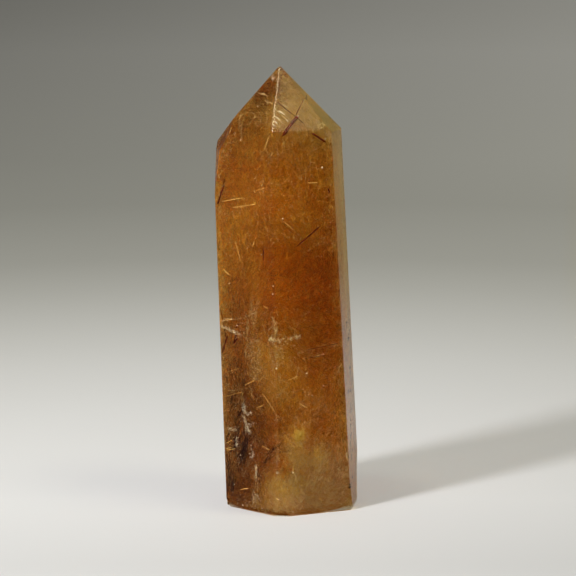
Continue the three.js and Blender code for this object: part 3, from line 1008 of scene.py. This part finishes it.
def lamplight_share(tree):
    """Lets lamps reach the rutile inside, and the floor under the foot, but not the floor beside
    the crystal, where it throws its shadow."""
    path = tree.nodes.new("ShaderNodeLightPath")
    surface = tree.nodes.new("ShaderNodeNewGeometry")
    parts = tree.nodes.new("ShaderNodeSeparateXYZ")
    tree.links.new(surface.outputs["Normal"], parts.inputs[0])
    downward = add_maths(tree, "MULTIPLY", parts.outputs["Z"], -1.0)
    let_in = add_maths(tree, "MAXIMUM", surface.outputs["Backfacing"], downward)
    share = add_range(tree, let_in, 0, 1, SHADE, 1)
    return add_maths(tree, "MULTIPLY", path.outputs["Is Shadow Ray"], share)


# Where the duller facets face, between which cosines of that, and their further roughness.
DULL = {"bearing": -80, "rise": 15, "within": (0.93, 0.97), "roughness": 0.22}


def duller_share(tree):
    """The roughness that the two small facets on the left shoulder have beyond the rest."""
    surface = tree.nodes.new("ShaderNodeNewGeometry")
    facing = direction(DULL["bearing"], DULL["rise"])
    near = add_nearness(tree, surface.outputs["Normal"], facing, DULL["within"])
    return add_maths(tree, "MULTIPLY", near, DULL["roughness"])


def add_polish(tree):
    """The roughness of the faintly uneven polish."""
    polish = add_range(tree, add_noise(tree, **RUBS), **POLISH)
    return add_maths(tree, "ADD", polish, duller_share(tree))


def quartz_material():
    """Clear polished quartz, tinted amber, that lets the lamps in."""
    material, tree, out = new_material("polished_quartz")
    glass = tree.nodes.new("ShaderNodeBsdfPrincipled")
    glass.inputs["Base Color"].default_value = (*WHITE, 1)
    glass.inputs["IOR"].default_value = QUARTZ_IOR
    glass.inputs["Transmission Weight"].default_value = 1.0
    glass.inputs["Specular Tint"].default_value = (*MIRROR, 1)
    tree.links.new(add_polish(tree), glass.inputs["Roughness"])
    clear = tree.nodes.new("ShaderNodeBsdfTransparent")
    clear.inputs["Color"].default_value = (*LET_IN, 1)
    mix = tree.nodes.new("ShaderNodeMixShader")
    tree.links.new(lamplight_share(tree), mix.inputs["Fac"])
    tree.links.new(glass.outputs[0], mix.inputs[1])
    tree.links.new(clear.outputs[0], mix.inputs[2])
    tree.links.new(mix.outputs[0], out.inputs["Surface"])
    amber = tree.nodes.new("ShaderNodeVolumeAbsorption")
    amber.inputs["Color"].default_value = (*AMBER["colour"], 1)
    amber.inputs["Density"].default_value = AMBER["density"]
    tree.links.new(amber.outputs[0], out.inputs["Volume"])
    return material


def finish_crystal():
    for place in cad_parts[CRYSTAL].material_slots:
        place.material = quartz_material()


def set_sampling():
    scene = bpy.context.scene
    scene.view_settings.view_transform = "Standard"
    scene.view_settings.look = "Medium High Contrast"
    cycles = scene.cycles
    cycles.use_denoising = True
    cycles.caustics_reflective = False
    cycles.max_bounces = 24
    cycles.diffuse_bounces = 10
    cycles.glossy_bounces = 8
    cycles.transmission_bounces = 16
    cycles.transparent_max_bounces = 12


add_camera()
add_floor()
add_room()
add_lamp("key", **KEY)
add_lamp("softbox", **SOFTBOX)
add_lamp("ridge_box", **RIDGE_BOX)
add_lamp("fill", **FILL)
finish_crystal()
add_hair()
add_needles("dark_needles", DARK_NEEDLES, hidden=16, hidden_width=0.2,
            material=mineral("dark_rutile", (0.08, 0.01, 0.002), (0.17, 0.028, 0.004), 0.3, 0.25))
# pale rods that paint the growth lines' glints
add_needles("growth_lines", PAINTED_GLINT_LINES,
            material=mineral("painted_glint_growth_lines", (0.96, 0.86, 0.66), (0.98, 0.94, 0.82), 0.2))
add_needles("golden_needles", GOLD_NEEDLES, hidden=100, hidden_width=0.19,
            material=mineral("golden_rutile", (0.88, 0.52, 0.14), (0.95, 0.7, 0.3), 0.3))
add_wisps("frosty_wisps", PALE_WISPS, FRONT, shortest=0.5, longest=1.8, width=0.036,
          material=mineral("healed_fracture", (0.95, 0.72, 0.34), (0.97, 0.84, 0.52)))
add_wisps("white_frost", FROST, FRONT, shortest=0.4, longest=1.5, width=0.05,
          material=mineral("white_fracture", (0.96, 0.86, 0.7), (0.98, 0.94, 0.86)))
add_wisps("frosty_grains", GRAINS, FRONT, shortest=0.2, longest=0.6, width=0.11,
          material=mineral("fracture_grains", (0.95, 0.78, 0.44), (0.97, 0.88, 0.62)))
add_wisps("back_wisps", BACK_WISPS, BACK, shortest=0.3, longest=1.4, width=0.06,
          material=mineral("back_fracture", (0.95, 0.74, 0.38), (0.97, 0.86, 0.56)))
# golden fibres whose pale tone partly paints the glow in the foot
add_wisps("golden_glow", GLOW, FRONT, shortest=0.4, longest=1.4, width=0.05,
          material=mineral("golden_haze_and_painted_glow", (0.95, 0.66, 0.12), (0.97, 0.76, 0.24)))
add_wisps("smoky_wisps", DARK_WISPS, FRONT, shortest=1.5, longest=5, width=0.09,
          material=mineral("smoky_rutile", (0.03, 0.008, 0.006), (0.09, 0.02, 0.012)))
# pale haze partly painting the light that reaches the right side
add_wisps("side_haze", SIDE_PALE, SIDE, shortest=0.8, longest=3, width=0.036,
          material=mineral("khaki_haze_and_painted_light", (0.95, 0.78, 0.26), (0.97, 0.86, 0.4)))
add_wisps("side_wisps", SIDE_WISPS, SIDE, shortest=0.8, longest=3, width=0.09,
          material=mineral("grey_growth_lines", (0.05, 0.035, 0.025), (0.2, 0.15, 0.1)))
add_wisps("side_pits", SIDE_PITS, SIDE, shortest=0.6, longest=1.4, width=0.32,
          material=mineral("dark_pits", (0.02, 0.014, 0.01), (0.06, 0.04, 0.03)))
add_fine_needles("fine_pale_needles", count=5000, widths=(0.03, 0.065), length=1.2, seed=11,
                 material=mineral("pale_rutile", (0.94, 0.72, 0.36), (0.97, 0.84, 0.54)))
add_fine_needles("fine_dark_needles", count=1500, widths=(0.02, 0.06), length=1.4, seed=12,
                 material=mineral("brown_rutile", (0.14, 0.035, 0.012), (0.28, 0.07, 0.02)))
add_flecks()
set_sampling()
